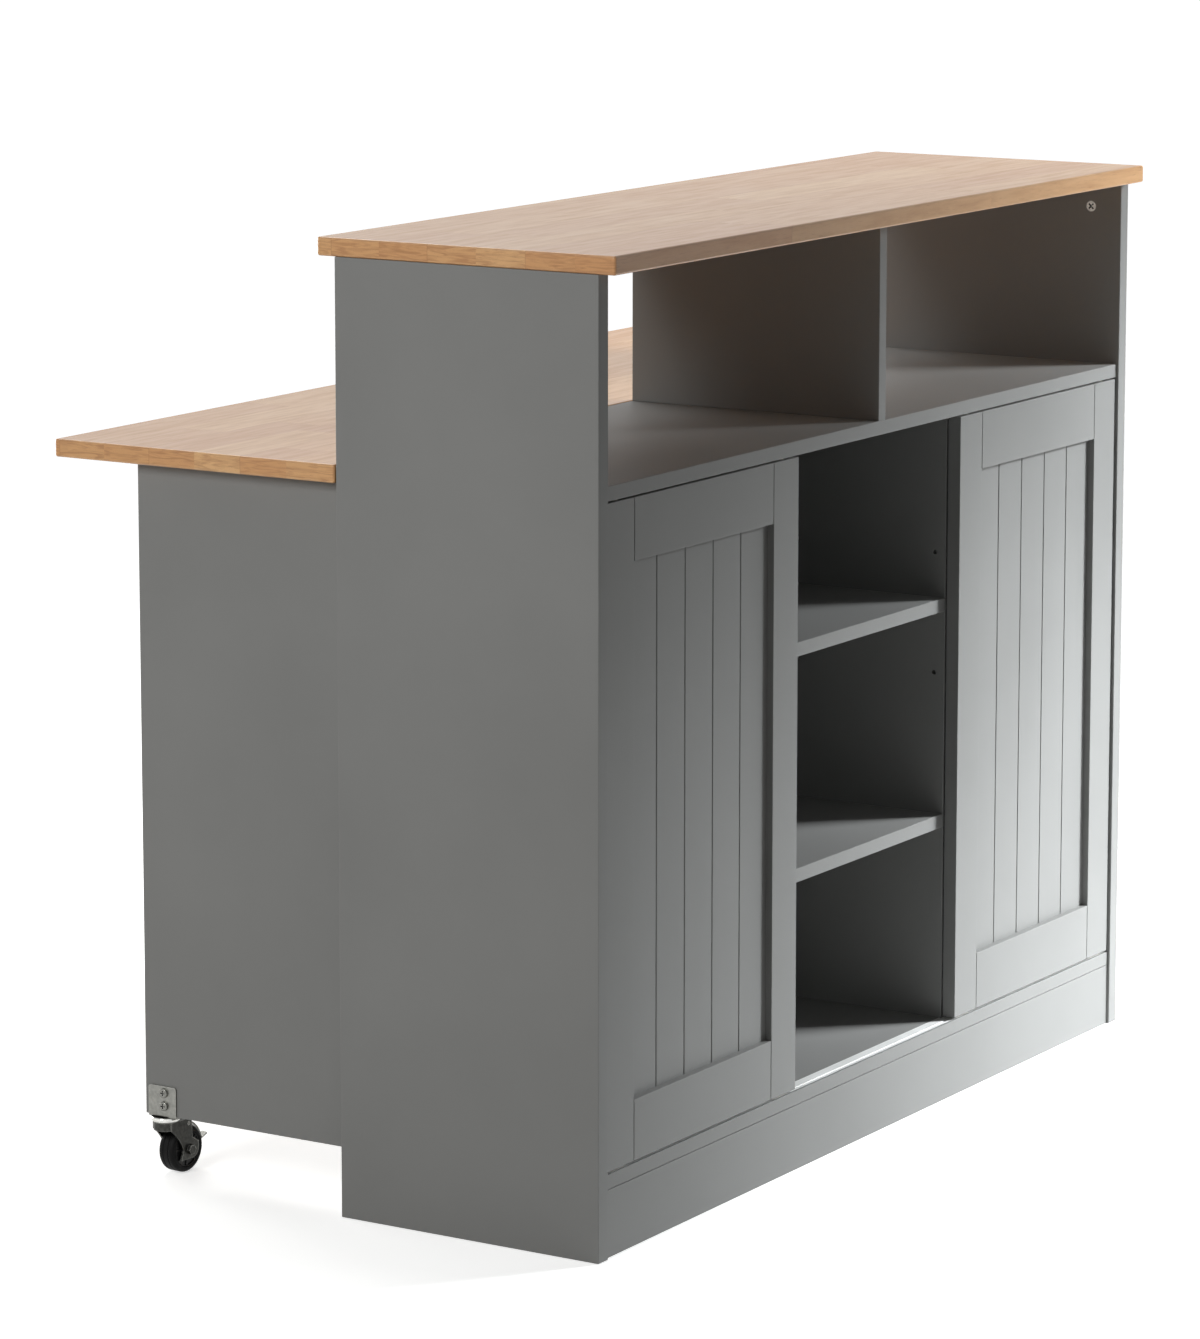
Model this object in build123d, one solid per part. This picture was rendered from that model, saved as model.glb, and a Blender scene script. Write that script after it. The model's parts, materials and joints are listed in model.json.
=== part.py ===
from build123d import *
import os

# Kitchen island: a bar-height storage cabinet with sliding doors, and a table that rolls out behind it.
# Lengths are in millimetres. X runs along the width, Y from the door side to the table side, Z is up.
# The origin is on the floor, under the middle of the whole island.

# Cabinet
cabinet_width = 1138.0
cabinet_depth = 308.0
island_height = 1000.0
side_thickness = 18.0
bar_top_thickness = 19.0
bar_top_overhang_front = 19.0
bar_top_overhang_back = 21.0
board_thickness = 15.0
front_setback = 3.0
serving_height = 773.0
plinth_height = 70.0
plinth_joint_gap = 0.6
niche_width = 352.0
recess_depth = 58.0
back_panel_thickness = 5.0

# Edge rounding
painted_edge_radius = 0.8
door_edge_radius = 0.5
hardwood_edge_radius = 2.5

# Shelves and their pins
niche_upper_shelf_top = 556.0
niche_lower_shelf_top = 315.5
bay_shelf_top = 430.0
shelf_end_gap = 0.5
bay_shelf_setback = 10.0
pin_diameter = 5.0
pin_depth = 6.5
pin_reach = 8.0
pin_pitch = 66.5
pin_front_setback = 13.0
pin_back_setback = 40.0

# Sliding doors
door_thickness = 15.0
door_side_gap = 3.0
door_top_gap = 2.0
door_bottom_gap = 2.5
door_back_gap = 2.0
stile_width = 50.0
rail_height = 63.0
rail_shoulder_gap = 1.0
panel_recess = 7.5
panel_thickness = 4.0
panel_tongue = 7.0
plank_count = 5
plank_groove_width = 2.4
plank_groove_depth = 1.5

# Door tracks, glides and guide pins
track_setback = 3.0
track_width = 17.0
track_thickness = 2.0
track_groove_width = 3.0
track_groove_depth = 1.2
keel_side_gap = 0.3
glide_length = 28.0
glide_width = 8.0
glide_height = 12.0
channel_width = 9.0
channel_height = 8.5
channel_wall = 1.2
guide_body_diameter = 8.0
guide_body_length = 16.0
guide_pin_diameter = 5.0
guide_pin_reach = 6.0
bumper_diameter = 10.0
bumper_end_distance = 120.0
bumper_gap = 0.3

# Board joints
cam_diameter = 12.0
cam_edge_distance = 29.0
cam_setback = 38.0
cam_past_bolt = 3.0
cam_sink = 0.3
cam_slot_length = 8.0
cam_slot_width = 1.8
cam_slot_depth = 3.0
cam_slot_turn = 45.0
bolt_diameter = 6.0
bolt_reach = 9.0
bolt_grip = 4.0
dowel_diameter = 6.0
dowel_edge_length = 18.0
dowel_face_length = 8.0
dowel_end_distance = 28.0

# Clearances
fit_clearance = 0.1
running_clearance = 0.05
sliding_clearance = 0.1

# Table
dock_gap = 2.0
table_top_depth = 350.0
table_top_thickness = 19.0
table_overhang_far = 90.0
table_side_thickness = 18.0
table_side_gap = 3.0
table_nesting = 46.0
table_floor_gap = 66.5
table_back_setback = 10.0
table_back_floor_gap = 90.0
table_back_cam_distance = 90.0
apron_height = 60.0
apron_setback = 12.0
dock_pad_height = 90.0
dock_pad_width = 26.0
dock_pad_gap = 0.3
dock_pad_floor_distance = 130.0
dock_pad_shelf_distance = 60.0

# Caster brackets and their screws
bracket_length = 35.0
bracket_height = 34.0
bracket_reach = 34.0
bracket_sheet = 2.0
bracket_corner_radius = 3.0
bracket_bend_radius = 2.5
bracket_end_distance = 5.0
screw_diameter = 4.0
screw_length = 13.0
screw_head_diameter = 10.0
screw_head_height = 2.8
screw_spacing = 14.0
screw_middle_height = 20.0
screw_offset = 2.4
screw_slot_length = 5.6
screw_slot_width = 1.4
screw_slot_depth = 1.5

# Swivel casters
swivel_inset = 8.0
swivel_offset = 3.0
race_diameter = 29.0
race_height = 4.5
race_gap = 0.8
kingpin_diameter = 8.0
kingpin_head_diameter = 12.0
kingpin_head_height = 1.8
swivel_gap = 0.3
fork_sheet = 2.0
fork_side_gap = 1.0
fork_skirt_height = 9.0
fork_flare = 6.0
fork_throat_along = 7.5
fork_throat_height = 35.5
fork_foot_radius = 10.0
fork_foot_length = 4.0
fork_toe_along = 9.0
fork_hip_height = 31.0
fork_notch_along = 27.0
fork_notch_height = 37.5
fork_tail = 26.0
wheel_diameter = 50.0
wheel_width = 20.0
wheel_edge_radius = 4.0
wheel_dish_depth = 2.0
wheel_rim = 7.0
hub_diameter = 16.0
hub_end_gap = 0.3
caster_trail = 23.0
caster_turn = 4.0
axle_diameter = 6.0
axle_head_diameter = 11.0
axle_head_height = 4.0

# Brake levers
brake_pivot_along = 21.5
brake_pivot_height = 53.5
brake_pin_diameter = 4.0
brake_eye_diameter = 6.0
brake_sheet = 1.8
brake_arm_width = 6.0
brake_pedal_width = 8.0
brake_top_gap = 2.0
brake_middle_gap = 2.8
brake_middle_angle = 48.0
brake_end_gap = 4.2
brake_end_angle = 10.0
brake_tip_along = 61.2
brake_tip_height = 33.8

# Fixed rollers
roller_setback = 27.0
roller_plate_length = 46.0
roller_side_gap = 5.0
roller_screw_spacing = 34.0

# Places worked out from the sizes
half_width = cabinet_width / 2
inner_half = half_width - side_thickness
overall_depth = bar_top_overhang_front + cabinet_depth + dock_gap + table_top_depth
cabinet_front = bar_top_overhang_front - overall_depth / 2
cabinet_back = cabinet_front + cabinet_depth
face_front = cabinet_front + front_setback
bar_top_underside = island_height - bar_top_thickness
shelf_underside = serving_height - board_thickness
floor_board_top = plinth_height + board_thickness
back_panel_rear = cabinet_back - recess_depth
back_panel_front = back_panel_rear - back_panel_thickness
door_back = face_front + door_thickness
door_middle = face_front + door_thickness / 2
door_bottom = floor_board_top + door_bottom_gap
door_top = shelf_underside - door_top_gap
partition_front = door_back + door_back_gap
niche_half = niche_width / 2
partition_outer = niche_half + board_thickness
partition_middle = niche_half + board_thickness / 2

table_near = cabinet_back + dock_gap
table_far = table_near + table_top_depth
table_underside = serving_height - table_top_thickness
table_half = inner_half - table_side_gap
table_inner_half = table_half - table_side_thickness
table_side_middle = table_half - table_side_thickness / 2
table_side_near = cabinet_back - table_nesting
table_side_far = table_far - table_overhang_far
bracket_far = table_side_far - bracket_end_distance
bracket_near = bracket_far - bracket_length
bracket_middle = (bracket_far + bracket_near) / 2
swivel_x = table_half - swivel_inset
swivel_y = bracket_middle + swivel_offset
bracket_underside = table_floor_gap - bracket_sheet
race_underside = bracket_underside - race_height
crown_top = race_underside - race_gap
crown_underside = crown_top - fork_sheet
fork_inner_half = wheel_width / 2 + fork_side_gap
fork_outer_half = fork_inner_half + fork_sheet
axle_height = wheel_diameter / 2
roller_x = table_half - roller_side_gap - fork_outer_half
roller_y = table_side_near + roller_setback

LEFT = -1
RIGHT = 1
SIDE_NAMES = {LEFT: "left", RIGHT: "right"}

nodes = {}


def span(x, y, z):
    """Box between the lower and higher value on each axis, given in either order."""
    sizes = [abs(high - low) for low, high in (x, y, z)]
    middle = [(high + low) / 2 for low, high in (x, y, z)]
    return Pos(*middle) * Box(*sizes)


def board(x, y, z, radius=painted_edge_radius):
    """Box with all its edges rounded."""
    plain = span(x, y, z)
    return fillet(plain.edges(), radius)


def rod(radius, start, end):
    """Round bar from one point to another."""
    run = Vector(*end) - Vector(*start)
    place = Plane(origin=start, z_dir=run)
    return place.location * Cylinder(radius, run.length, align=(Align.CENTER, Align.CENTER, Align.MIN))


def add(name, solid):
    """Keep one solid, or a group of separate solids, under a node's name."""
    nodes.setdefault(name, []).append(solid)


def drill(name, tool):
    """Cut a tool from the one solid of a node."""
    nodes[name] = [nodes[name][0] - tool]


def cross_slot(length, width, depth):
    """Cutter for a cross recess that goes down from the origin."""
    downward = (Align.CENTER, Align.CENTER, Align.MAX)
    return Box(length, width, depth, align=downward) + Box(width, length, depth, align=downward)


def cam_joint(prefix, host, mate, seat, face, towards, thickness):
    """Sink a cam lock into the host board's face, with its bolt running into the mate.

    seat is a point on the host's face, face is that face's outward direction, and towards points at
    the mate, whose surface lies cam_edge_distance away.
    """
    place = Plane(origin=seat, x_dir=towards, z_dir=face).location
    downward = (Align.CENTER, Align.CENTER, Align.MAX)
    depth = thickness / 2 + cam_past_bolt
    bolt_start = cam_diameter / 2 - bolt_grip
    bolt_end = cam_edge_distance + bolt_reach
    axis = -thickness / 2
    bolt = rod(bolt_diameter / 2, (bolt_start, 0, axis), (bolt_end, 0, axis))
    bore_radius = bolt_diameter / 2 + fit_clearance
    bore = rod(bore_radius, (bolt_start - fit_clearance, 0, axis), (bolt_end + fit_clearance, 0, axis))
    cam = Pos(0, 0, -cam_sink) * Cylinder(cam_diameter / 2, depth - cam_sink, align=downward)
    slot = cross_slot(cam_slot_length, cam_slot_width, cam_slot_depth)
    cam -= Pos(0, 0, -cam_sink) * Rot(0, 0, cam_slot_turn) * slot
    pocket = Cylinder(cam_diameter / 2 + fit_clearance, depth + fit_clearance, align=downward)
    add(prefix + "cam_locks", place * (cam - bore))
    add(prefix + "cam_bolts", place * bolt)
    drill(host, place * (pocket + bore))
    drill(mate, place * bore)


def dowel_joint(edge_board, face_board, point, towards):
    """Dowel across the joint at point, deep in the edge board and shallow in the face board."""
    direction = Vector(*towards)
    middle = Vector(*point)
    start = middle - direction * dowel_edge_length
    end = middle + direction * dowel_face_length
    hole_start = start - direction * fit_clearance
    hole_end = end + direction * fit_clearance
    add("dowels", rod(dowel_diameter / 2, start, end))
    hole = rod(dowel_diameter / 2 + fit_clearance, hole_start, hole_end)
    drill(edge_board, hole)
    drill(face_board, hole)


def shelf_pin(host, x, y, z, outward):
    """Pin that stands out of the host board at x, and the spare holes one step above and below it."""
    add("shelf_pins", rod(pin_diameter / 2, (x - outward * pin_depth, y, z), (x + outward * pin_reach, y, z)))
    hole_radius = pin_diameter / 2 + fit_clearance
    hole_end = x - outward * (pin_depth + fit_clearance)
    for step in (-1, 0, 1):
        height = z + step * pin_pitch
        drill(host, rod(hole_radius, (x, y, height), (hole_end, y, height)))


def pan_screw(place):
    """Pan-head screw whose head sits on the XY plane of place and whose shank goes down."""
    upward = (Align.CENTER, Align.CENTER, Align.MIN)
    head = Cylinder(screw_head_diameter / 2, screw_head_height, align=upward)
    head = fillet(head.edges().sort_by(Axis.Z)[-1], screw_head_height / 2)
    slot = cross_slot(screw_slot_length, screw_slot_width, screw_slot_depth)
    head -= Pos(0, 0, screw_head_height) * slot
    add("bracket_screws", place * (head + rod(screw_diameter / 2, (0, 0, 0), (0, 0, -screw_length))))


def screw_hole(place):
    """Cutter that takes a screw's shank."""
    hole_radius = screw_diameter / 2 + fit_clearance
    return place * rod(hole_radius, (0, 0, 0), (0, 0, -screw_length - fit_clearance))


def plate(outline, y):
    """Flat plate inside a closed outline drawn in x and z, between two y values."""
    low, high = y
    return Pos(0, high, 0) * extrude(Plane.XZ * make_face(outline), high - low)


def wheel():
    """Dished wheel that turns about Y at the origin, with a hub that nearly meets the fork."""
    tread = Cylinder(wheel_diameter / 2, wheel_width)
    tread = fillet(tread.edges(), wheel_edge_radius)
    dish_radius = wheel_diameter / 2 - wheel_rim
    dish_place = wheel_width / 2 - wheel_dish_depth / 2
    for side in (-1, 1):
        tread -= Pos(0, 0, side * dish_place) * Cylinder(dish_radius, wheel_dish_depth)
    hub_length = 2 * (fork_inner_half - hub_end_gap)
    solid = tread + Cylinder(hub_diameter / 2, hub_length)
    solid -= Cylinder(axle_diameter / 2 + running_clearance, hub_length)
    return Rot(90, 0, 0) * solid


def axle():
    """Axle along Y at the origin: a bolt head outside one fork plate, a nut outside the other."""
    half = fork_outer_half
    shank = rod(axle_diameter / 2, (0, -half - axle_head_height, 0), (0, half + axle_head_height, 0))
    hexagon = extrude(RegularPolygon(axle_head_diameter / 2, 6), axle_head_height)
    for face in (-half, half + axle_head_height):
        shank += Pos(0, face, 0) * Rot(90, 0, 0) * hexagon
    return shank


def side_panels():
    """The two panels that stand on the floor and carry everything in the cabinet."""
    for side, name in SIDE_NAMES.items():
        x = (side * inner_half, side * half_width)
        add("side_panel_" + name, board(x, (cabinet_front, cabinet_back), (0, bar_top_underside)))


def carcass_boards():
    """Bar top, shelves, divider, partitions, bottom board, plinths and back panel."""
    inside = (-inner_half, inner_half)
    bar_y = (cabinet_front - bar_top_overhang_front, cabinet_back + bar_top_overhang_back)
    bar_z = (bar_top_underside, island_height)
    add("bar_top", board((-half_width, half_width), bar_y, bar_z, hardwood_edge_radius))

    shelf_y = (face_front, cabinet_back)
    add("serving_shelf", board(inside, shelf_y, (shelf_underside, serving_height)))
    divider_x = (-board_thickness / 2, board_thickness / 2)
    add("centre_divider", board(divider_x, shelf_y, (serving_height, bar_top_underside)))

    inner_y = (partition_front, back_panel_front)
    for side, name in SIDE_NAMES.items():
        x = (side * niche_half, side * partition_outer)
        add("partition_" + name, board(x, inner_y, (floor_board_top, shelf_underside)))

    add("bottom_board", board(inside, (face_front, back_panel_front), (plinth_height, floor_board_top)))
    front_plinth_z = (0, plinth_height - plinth_joint_gap)
    add("plinth_front", board(inside, (face_front, face_front + board_thickness), front_plinth_z))
    add("plinth_rear", board(inside, (back_panel_rear - board_thickness, back_panel_rear), (0, plinth_height)))
    back_z = (plinth_height, shelf_underside)
    add("back_panel", board(inside, (back_panel_front, back_panel_rear), back_z))


def shelves():
    """The two niche shelves and one shelf in each door bay."""
    inner_y = (partition_front, back_panel_front)
    niche_x = (shelf_end_gap - niche_half, niche_half - shelf_end_gap)
    upper_z = (niche_upper_shelf_top - board_thickness, niche_upper_shelf_top)
    add("niche_shelf_upper", board(niche_x, inner_y, upper_z))
    lower_z = (niche_lower_shelf_top - board_thickness, niche_lower_shelf_top)
    add("niche_shelf_lower", board((-niche_half, niche_half), inner_y, lower_z))

    bay_y = (partition_front + bay_shelf_setback, back_panel_front)
    bay_z = (bay_shelf_top - board_thickness, bay_shelf_top)
    pin_rows = (partition_front + pin_front_setback, back_panel_front - pin_back_setback)
    upper_pin_z = upper_z[0] - pin_diameter / 2
    bay_pin_z = bay_z[0] - pin_diameter / 2
    for side, name in SIDE_NAMES.items():
        bay_x = (side * (partition_outer + shelf_end_gap), side * (inner_half - shelf_end_gap))
        add(name + "_bay_shelf", board(bay_x, bay_y, bay_z))
        for y in pin_rows:
            shelf_pin("partition_" + name, side * niche_half, y, upper_pin_z, -side)
            shelf_pin("partition_" + name, side * partition_outer, y, bay_pin_z, side)
            shelf_pin("side_panel_" + name, side * inner_half, y, bay_pin_z, -side)


def cabinet_joints():
    """Cam locks where boards meet the side panels, and dowels elsewhere."""
    front_row = cabinet_front + cam_setback
    for side, name in SIDE_NAMES.items():
        panel = "side_panel_" + name
        inward = (-side, 0, 0)
        outward = (side, 0, 0)
        cam_x = side * (inner_half - cam_edge_distance)
        for y in (front_row, cabinet_back - cam_setback):
            high_seat = (side * inner_half, y, bar_top_underside - cam_edge_distance)
            cam_joint("", panel, "bar_top", high_seat, inward, (0, 0, 1), side_thickness)
            shelf_seat = (cam_x, y, shelf_underside)
            cam_joint("", "serving_shelf", panel, shelf_seat, (0, 0, -1), outward, board_thickness)
        for y in (front_row, back_panel_front - cam_setback):
            floor_seat = (cam_x, y, plinth_height)
            cam_joint("", "bottom_board", panel, floor_seat, (0, 0, -1), outward, board_thickness)

        plinth_z = plinth_height / 2
        front_y = face_front + board_thickness / 2
        rear_y = back_panel_rear - board_thickness / 2
        dowel_joint("plinth_front", panel, (side * inner_half, front_y, plinth_z), outward)
        dowel_joint("plinth_rear", panel, (side * inner_half, rear_y, plinth_z), outward)

        partition = "partition_" + name
        lower_shelf_z = niche_lower_shelf_top - board_thickness / 2
        for y in (partition_front + dowel_end_distance, back_panel_front - dowel_end_distance):
            partition_x = side * partition_middle
            dowel_joint(partition, "bottom_board", (partition_x, y, floor_board_top), (0, 0, -1))
            dowel_joint(partition, "serving_shelf", (partition_x, y, shelf_underside), (0, 0, 1))
            dowel_joint("niche_shelf_lower", partition, (side * niche_half, y, lower_shelf_z), outward)

    for y in (face_front + dowel_end_distance, cabinet_back - dowel_end_distance):
        dowel_joint("centre_divider", "serving_shelf", (0, y, serving_height), (0, 0, -1))
        dowel_joint("centre_divider", "bar_top", (0, y, bar_top_underside), (0, 0, 1))


def door_tracks():
    """Flat track let into the bottom board, guide channel let into the shelf, and end bumpers."""
    inside = (-inner_half, inner_half)
    track_front = face_front + track_setback
    track_back = track_front + track_width
    track_z = (floor_board_top - track_thickness, floor_board_top)
    groove_y = (door_middle - track_groove_width / 2, door_middle + track_groove_width / 2)
    groove = span(inside, groove_y, (floor_board_top - track_groove_depth, floor_board_top))
    rebate_y = (track_front - fit_clearance, track_back + fit_clearance)
    drill("bottom_board", span(inside, rebate_y, track_z))
    add("bottom_track", span(inside, (track_front, track_back), track_z) - groove)

    def channel_box(half, top):
        return span(inside, (door_middle - half, door_middle + half), (shelf_underside, top))

    channel_top = shelf_underside + channel_height
    outer_half = channel_width / 2
    drill("serving_shelf", channel_box(outer_half + fit_clearance, channel_top))
    hollow = channel_box(outer_half - channel_wall, channel_top - channel_wall)
    add("top_channel", channel_box(outer_half, channel_top) - hollow)

    bumper_length = door_side_gap - bumper_gap
    for side in SIDE_NAMES:
        x = side * inner_half
        for z in (door_bottom + bumper_end_distance, door_top - bumper_end_distance):
            end = (x - side * bumper_length, door_middle, z)
            add("door_bumpers", rod(bumper_diameter / 2, (x, door_middle, z), end))


def door(side, name):
    """Frame of two stiles and two rails round a planked panel, with glides below and guides above."""
    free_edge = side * niche_half
    outer_edge = side * (inner_half - door_side_gap)
    outer_inside = outer_edge - side * stile_width
    inner_inside = free_edge + side * stile_width
    door_y = (face_front, door_back)
    door_z = (door_bottom, door_top)
    panel_front = face_front + panel_recess
    panel_y = (panel_front, panel_front + panel_thickness)
    groove_y = (panel_y[0] - fit_clearance, panel_y[1] + fit_clearance)
    groove_depth = panel_tongue + fit_clearance
    lower_edge = door_bottom + rail_height
    upper_edge = door_top - rail_height
    prefix = name + "_door_"

    stiles = {
        "outer_stile": (outer_edge, outer_inside, side),
        "inner_stile": (free_edge, inner_inside, -side),
    }
    for stile, (edge, inside, into) in stiles.items():
        solid = board((edge, inside), door_y, door_z, door_edge_radius)
        solid -= span((inside, inside + into * groove_depth), groove_y, door_z)
        middle = (edge + inside) / 2
        mortise_x = glide_length / 2 + fit_clearance
        mortise_y = glide_width / 2 + fit_clearance
        solid -= span(
            (middle - mortise_x, middle + mortise_x),
            (door_middle - mortise_y, door_middle + mortise_y),
            (door_bottom, door_bottom + glide_height + fit_clearance),
        )
        guide_bottom = door_top - guide_body_length
        bore_start = (middle, door_middle, guide_bottom - fit_clearance)
        solid -= rod(guide_body_diameter / 2 + fit_clearance, bore_start, (middle, door_middle, door_top))
        add(prefix + stile, solid)

        foot_z = floor_board_top + sliding_clearance
        glide_x = (middle - glide_length / 2, middle + glide_length / 2)
        glide_y = (door_middle - glide_width / 2, door_middle + glide_width / 2)
        keel_half = track_groove_width / 2 - keel_side_gap
        keel_z = (floor_board_top - track_groove_depth + sliding_clearance, foot_z)
        glide = span(glide_x, glide_y, (foot_z, door_bottom + glide_height))
        glide += span(glide_x, (door_middle - keel_half, door_middle + keel_half), keel_z)
        add(prefix + "glides", glide)

        pin_top = shelf_underside + guide_pin_reach
        guide = rod(guide_body_diameter / 2, (middle, door_middle, guide_bottom), (middle, door_middle, door_top))
        guide += rod(guide_pin_diameter / 2, (middle, door_middle, door_top), (middle, door_middle, pin_top))
        add(prefix + "guides", guide)

    tongue_x = (outer_inside + side * panel_tongue, inner_inside - side * panel_tongue)
    shoulder_x = (outer_inside - side * rail_shoulder_gap, inner_inside + side * rail_shoulder_gap)
    rails = {
        "bottom_rail": ((door_bottom, lower_edge), (lower_edge - groove_depth, lower_edge)),
        "top_rail": ((upper_edge, door_top), (upper_edge, upper_edge + groove_depth)),
    }
    for rail, (rail_z, rail_groove_z) in rails.items():
        solid = board(shoulder_x, door_y, rail_z, door_edge_radius)
        solid += span(tongue_x, panel_y, rail_z)
        solid -= span(tongue_x, groove_y, rail_groove_z)
        add(prefix + rail, solid)

    panel = span(tongue_x, panel_y, (lower_edge - panel_tongue, upper_edge + panel_tongue))
    plank_width = (inner_inside - outer_inside) / plank_count
    half_groove = plank_groove_width / 2
    groove_corners = ((-half_groove, 0), (half_groove, 0), (0, plank_groove_depth))
    vee = extrude(make_face(Polyline(*groove_corners, close=True)), door_top - door_bottom)
    for joint in range(1, plank_count):
        panel -= Pos(outer_inside + joint * plank_width, panel_front, door_bottom) * vee
    add(prefix + "panel", panel)


def table_boards():
    """Table top on two side panels, with a back panel towards the cabinet and an apron at the far end."""
    top_z = (table_underside, serving_height)
    add("table_top", board((-half_width, half_width), (table_near, table_far), top_z, hardwood_edge_radius))
    side_y = (table_side_near, table_side_far)
    side_z = (table_floor_gap, table_underside)
    for side, name in SIDE_NAMES.items():
        add("table_side_" + name, board((side * table_inner_half, side * table_half), side_y, side_z))

    between = (-table_inner_half, table_inner_half)
    back_near = table_side_near + table_back_setback
    back_y = (back_near, back_near + board_thickness)
    back_z = (table_back_floor_gap, table_underside)
    add("table_back", board(between, back_y, back_z))
    apron_far = table_side_far - apron_setback
    apron_near = apron_far - board_thickness
    add("table_apron", board(between, (apron_near, apron_far), (table_underside - apron_height, table_underside)))

    for side, name in SIDE_NAMES.items():
        panel = "table_side_" + name
        outward = (side, 0, 0)
        high_z = table_underside - cam_edge_distance
        for y in (table_near + cam_setback, table_side_far - cam_setback):
            seat = (side * table_inner_half, y, high_z)
            cam_joint("table_", panel, "table_top", seat, (-side, 0, 0), (0, 0, 1), table_side_thickness)
        cam_x = side * (table_inner_half - cam_edge_distance)
        back_heights = (back_z[0] + table_back_cam_distance, back_z[1] - table_back_cam_distance)
        for z in back_heights:
            seat = (cam_x, back_near, z)
            cam_joint("table_", "table_back", panel, seat, (0, -1, 0), outward, board_thickness)
        seat = (cam_x, apron_near, table_underside - apron_height / 2)
        cam_joint("table_", "table_apron", panel, seat, (0, -1, 0), outward, board_thickness)


def dock_pads():
    """Guide pads on the cabinet's side panels, which steer the table's sides as it rolls in."""
    pad_thickness = table_side_gap - dock_pad_gap
    pad_y = (cabinet_back - dock_pad_width, cabinet_back)
    upper_end = shelf_underside - dock_pad_shelf_distance
    heights = (
        (dock_pad_floor_distance, dock_pad_floor_distance + dock_pad_height),
        (upper_end - dock_pad_height, upper_end),
    )
    for side in SIDE_NAMES:
        for pad_z in heights:
            x = (side * inner_half, side * (inner_half - pad_thickness))
            add("dock_pads", board(x, pad_y, pad_z, painted_edge_radius))


def caster_bracket(side, name):
    """Angle bracket on the table side's outer face, with the ball race and kingpin under it."""
    outer = side * table_half
    upright_x = (outer, outer + side * bracket_sheet)
    foot_x = (outer + side * bracket_sheet, outer + side * (bracket_sheet - bracket_reach))
    bracket_y = (bracket_near, bracket_far)
    bracket_top = bracket_underside + bracket_height
    upright = span(upright_x, bracket_y, (bracket_underside, bracket_top))
    top_corners = upright.edges().filter_by(Axis.X).group_by(Axis.Z)[-1]
    upright = fillet(top_corners, bracket_corner_radius)
    solid = upright + span(foot_x, bracket_y, (bracket_underside, table_floor_gap))
    low_edges = solid.edges().filter_by(Axis.Y).group_by(Axis.Z)[0]
    bend = max(low_edges, key=lambda edge: side * edge.center().X)
    solid = fillet(bend, bracket_bend_radius)

    def disc(diameter, low, high):
        return rod(diameter / 2, (side * swivel_x, swivel_y, low), (side * swivel_x, swivel_y, high))

    head_top = crown_underside - swivel_gap
    solid += disc(race_diameter, race_underside, bracket_underside)
    solid += disc(kingpin_diameter, head_top, race_underside)
    solid += disc(kingpin_head_diameter, head_top - kingpin_head_height, head_top)

    for offset in (-screw_spacing / 2, screw_spacing / 2):
        height = bracket_underside + screw_middle_height + offset
        seat = (outer + side * bracket_sheet, bracket_middle - screw_offset, height)
        place = Plane(origin=seat, x_dir=(0, 1, 0), z_dir=(side, 0, 0)).location
        pan_screw(place)
        solid -= screw_hole(place)
        drill("table_side_" + name, screw_hole(place))
    add("caster_bracket_" + name, solid)


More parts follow.
